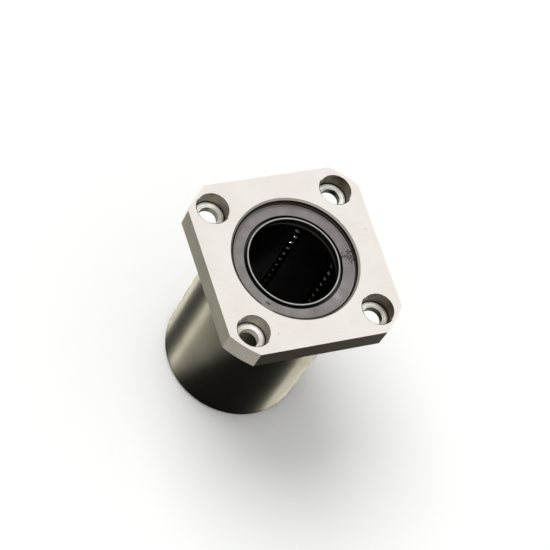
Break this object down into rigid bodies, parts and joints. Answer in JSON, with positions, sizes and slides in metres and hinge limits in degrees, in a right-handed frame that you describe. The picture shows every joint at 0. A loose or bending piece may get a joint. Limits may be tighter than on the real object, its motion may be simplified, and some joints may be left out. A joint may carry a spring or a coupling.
{
  "type": "flanged linear ball bearing",
  "caption": "Square-flanged linear ball bearing: a ground steel sleeve with caged recirculating balls and a wiper seal at each end, bolted on to carry a sliding shaft.",
  "frame": {"origin": "centre of the sleeve's plain end face, at the bottom of the part", "axes": "+Z along the bore towards the flange, X and Y along the sides of the flange"},
  "size_m": [0.05, 0.05, 0.059],
  "materials": {
    "sleeve_steel": "turned and ground bearing steel, satin flange and polished sleeve",
    "cage_polymer": "moulded black polymer",
    "seal_rubber": "moulded grey nitrile rubber",
    "ring_steel": "oil-blackened spring steel",
    "ball_steel": "lapped and polished bearing steel"
  },
  "bodies": {
    "housing": {"flanged_sleeve": "sleeve_steel", "ball_cage": "cage_polymer", "front_seal": "seal_rubber", "rear_seal": "seal_rubber", "front_retaining_ring": "ring_steel", "rear_retaining_ring": "ring_steel"},
    "loaded_1_train": {"loaded_balls_1": "ball_steel"},
    "return_1_train": {"return_balls_1": "ball_steel"},
    "front_turn_1_train": {"front_turn_balls_1": "ball_steel"},
    "rear_turn_1_train": {"rear_turn_balls_1": "ball_steel"},
    "loaded_2_train": {"loaded_balls_2": "ball_steel"},
    "return_2_train": {"return_balls_2": "ball_steel"},
    "front_turn_2_train": {"front_turn_balls_2": "ball_steel"},
    "rear_turn_2_train": {"rear_turn_balls_2": "ball_steel"},
    "loaded_3_train": {"loaded_balls_3": "ball_steel"},
    "return_3_train": {"return_balls_3": "ball_steel"},
    "front_turn_3_train": {"front_turn_balls_3": "ball_steel"},
    "rear_turn_3_train": {"rear_turn_balls_3": "ball_steel"},
    "loaded_4_train": {"loaded_balls_4": "ball_steel"},
    "return_4_train": {"return_balls_4": "ball_steel"},
    "front_turn_4_train": {"front_turn_balls_4": "ball_steel"},
    "rear_turn_4_train": {"rear_turn_balls_4": "ball_steel"},
    "loaded_5_train": {"loaded_balls_5": "ball_steel"},
    "return_5_train": {"return_balls_5": "ball_steel"},
    "front_turn_5_train": {"front_turn_balls_5": "ball_steel"},
    "rear_turn_5_train": {"rear_turn_balls_5": "ball_steel"},
    "loaded_6_train": {"loaded_balls_6": "ball_steel"},
    "return_6_train": {"return_balls_6": "ball_steel"},
    "front_turn_6_train": {"front_turn_balls_6": "ball_steel"},
    "rear_turn_6_train": {"rear_turn_balls_6": "ball_steel"}
  },
  "joints": [
    {"name": "circuit_1_loaded_row", "type": "slide", "parent": "housing", "child": "loaded_1_train", "axis": [0, 0, 1], "range_m": [-0.0017, 0.0017]},
    {"name": "circuit_1_return_row", "type": "slide", "parent": "housing", "child": "return_1_train", "axis": [0, 0, 1], "range_m": [-0.0017, 0.0017]},
    {"name": "circuit_1_front_turn", "type": "hinge", "parent": "housing", "child": "front_turn_1_train", "pos_m": [0.00522, 0.01347, 0.04827], "axis": [-0.5592, -0.829, 0], "range_deg": [-30.5, 30.5]},
    {"name": "circuit_1_rear_turn", "type": "hinge", "parent": "housing", "child": "rear_turn_1_train", "pos_m": [0.00522, 0.01347, 0.01073], "axis": [-0.5592, -0.829, 0], "range_deg": [-30.5, 30.5]},
    {"name": "circuit_2_loaded_row", "type": "slide", "parent": "housing", "child": "loaded_2_train", "axis": [0, 0, 1], "range_m": [-0.0017, 0.0017]},
    {"name": "circuit_2_return_row", "type": "slide", "parent": "housing", "child": "return_2_train", "axis": [0, 0, 1], "range_m": [-0.0017, 0.0017]},
    {"name": "circuit_2_front_turn", "type": "hinge", "parent": "housing", "child": "front_turn_2_train", "pos_m": [-0.00906, 0.01125, 0.04827], "axis": [0.4384, -0.8988, 0], "range_deg": [-30.5, 30.5]},
    {"name": "circuit_2_rear_turn", "type": "hinge", "parent": "housing", "child": "rear_turn_2_train", "pos_m": [-0.00906, 0.01125, 0.01073], "axis": [0.4384, -0.8988, 0], "range_deg": [-30.5, 30.5]},
    {"name": "circuit_3_loaded_row", "type": "slide", "parent": "housing", "child": "loaded_3_train", "axis": [0, 0, 1], "range_m": [-0.0017, 0.0017]},
    {"name": "circuit_3_return_row", "type": "slide", "parent": "housing", "child": "return_3_train", "axis": [0, 0, 1], "range_m": [-0.0017, 0.0017]},
    {"name": "circuit_3_front_turn", "type": "hinge", "parent": "housing", "child": "front_turn_3_train", "pos_m": [-0.01428, -0.00222, 0.04827], "axis": [0.9976, -0.0698, 0], "range_deg": [-30.5, 30.5]},
    {"name": "circuit_3_rear_turn", "type": "hinge", "parent": "housing", "child": "rear_turn_3_train", "pos_m": [-0.01428, -0.00222, 0.01073], "axis": [0.9976, -0.0698, 0], "range_deg": [-30.5, 30.5]},
    {"name": "circuit_4_loaded_row", "type": "slide", "parent": "housing", "child": "loaded_4_train", "axis": [0, 0, 1], "range_m": [-0.0017, 0.0017]},
    {"name": "circuit_4_return_row", "type": "slide", "parent": "housing", "child": "return_4_train", "axis": [0, 0, 1], "range_m": [-0.0017, 0.0017]},
    {"name": "circuit_4_front_turn", "type": "hinge", "parent": "housing", "child": "front_turn_4_train", "pos_m": [-0.00522, -0.01347, 0.04827], "axis": [0.5592, 0.829, 0], "range_deg": [-30.5, 30.5]},
    {"name": "circuit_4_rear_turn", "type": "hinge", "parent": "housing", "child": "rear_turn_4_train", "pos_m": [-0.00522, -0.01347, 0.01073], "axis": [0.5592, 0.829, 0], "range_deg": [-30.5, 30.5]},
    {"name": "circuit_5_loaded_row", "type": "slide", "parent": "housing", "child": "loaded_5_train", "axis": [0, 0, 1], "range_m": [-0.0017, 0.0017]},
    {"name": "circuit_5_return_row", "type": "slide", "parent": "housing", "child": "return_5_train", "axis": [0, 0, 1], "range_m": [-0.0017, 0.0017]},
    {"name": "circuit_5_front_turn", "type": "hinge", "parent": "housing", "child": "front_turn_5_train", "pos_m": [0.00906, -0.01125, 0.04827], "axis": [-0.4384, 0.8988, 0], "range_deg": [-30.5, 30.5]},
    {"name": "circuit_5_rear_turn", "type": "hinge", "parent": "housing", "child": "rear_turn_5_train", "pos_m": [0.00906, -0.01125, 0.01073], "axis": [-0.4384, 0.8988, 0], "range_deg": [-30.5, 30.5]},
    {"name": "circuit_6_loaded_row", "type": "slide", "parent": "housing", "child": "loaded_6_train", "axis": [0, 0, 1], "range_m": [-0.0017, 0.0017]},
    {"name": "circuit_6_return_row", "type": "slide", "parent": "housing", "child": "return_6_train", "axis": [0, 0, 1], "range_m": [-0.0017, 0.0017]},
    {"name": "circuit_6_front_turn", "type": "hinge", "parent": "housing", "child": "front_turn_6_train", "pos_m": [0.01428, 0.00222, 0.04827], "axis": [-0.9976, 0.0698, 0], "range_deg": [-30.5, 30.5]},
    {"name": "circuit_6_rear_turn", "type": "hinge", "parent": "housing", "child": "rear_turn_6_train", "pos_m": [0.01428, 0.00222, 0.01073], "axis": [-0.9976, 0.0698, 0], "range_deg": [-30.5, 30.5]}
  ],
  "couplings": [
    {"joint": "circuit_1_return_row", "follows": "circuit_1_loaded_row", "ratio": -1},
    {"joint": "circuit_1_front_turn", "follows": "circuit_1_loaded_row", "rad_per_m": 311.38},
    {"joint": "circuit_1_rear_turn", "follows": "circuit_1_loaded_row", "rad_per_m": 311.38},
    {"joint": "circuit_2_return_row", "follows": "circuit_2_loaded_row", "ratio": -1},
    {"joint": "circuit_2_front_turn", "follows": "circuit_2_loaded_row", "rad_per_m": 311.38},
    {"joint": "circuit_2_rear_turn", "follows": "circuit_2_loaded_row", "rad_per_m": 311.38},
    {"joint": "circuit_3_return_row", "follows": "circuit_3_loaded_row", "ratio": -1},
    {"joint": "circuit_3_front_turn", "follows": "circuit_3_loaded_row", "rad_per_m": 311.38},
    {"joint": "circuit_3_rear_turn", "follows": "circuit_3_loaded_row", "rad_per_m": 311.38},
    {"joint": "circuit_4_return_row", "follows": "circuit_4_loaded_row", "ratio": -1},
    {"joint": "circuit_4_front_turn", "follows": "circuit_4_loaded_row", "rad_per_m": 311.38},
    {"joint": "circuit_4_rear_turn", "follows": "circuit_4_loaded_row", "rad_per_m": 311.38},
    {"joint": "circuit_5_return_row", "follows": "circuit_5_loaded_row", "ratio": -1},
    {"joint": "circuit_5_front_turn", "follows": "circuit_5_loaded_row", "rad_per_m": 311.38},
    {"joint": "circuit_5_rear_turn", "follows": "circuit_5_loaded_row", "rad_per_m": 311.38},
    {"joint": "circuit_6_return_row", "follows": "circuit_6_loaded_row", "ratio": -1},
    {"joint": "circuit_6_front_turn", "follows": "circuit_6_loaded_row", "rad_per_m": 311.38},
    {"joint": "circuit_6_rear_turn", "follows": "circuit_6_loaded_row", "rad_per_m": 311.38}
  ]
}
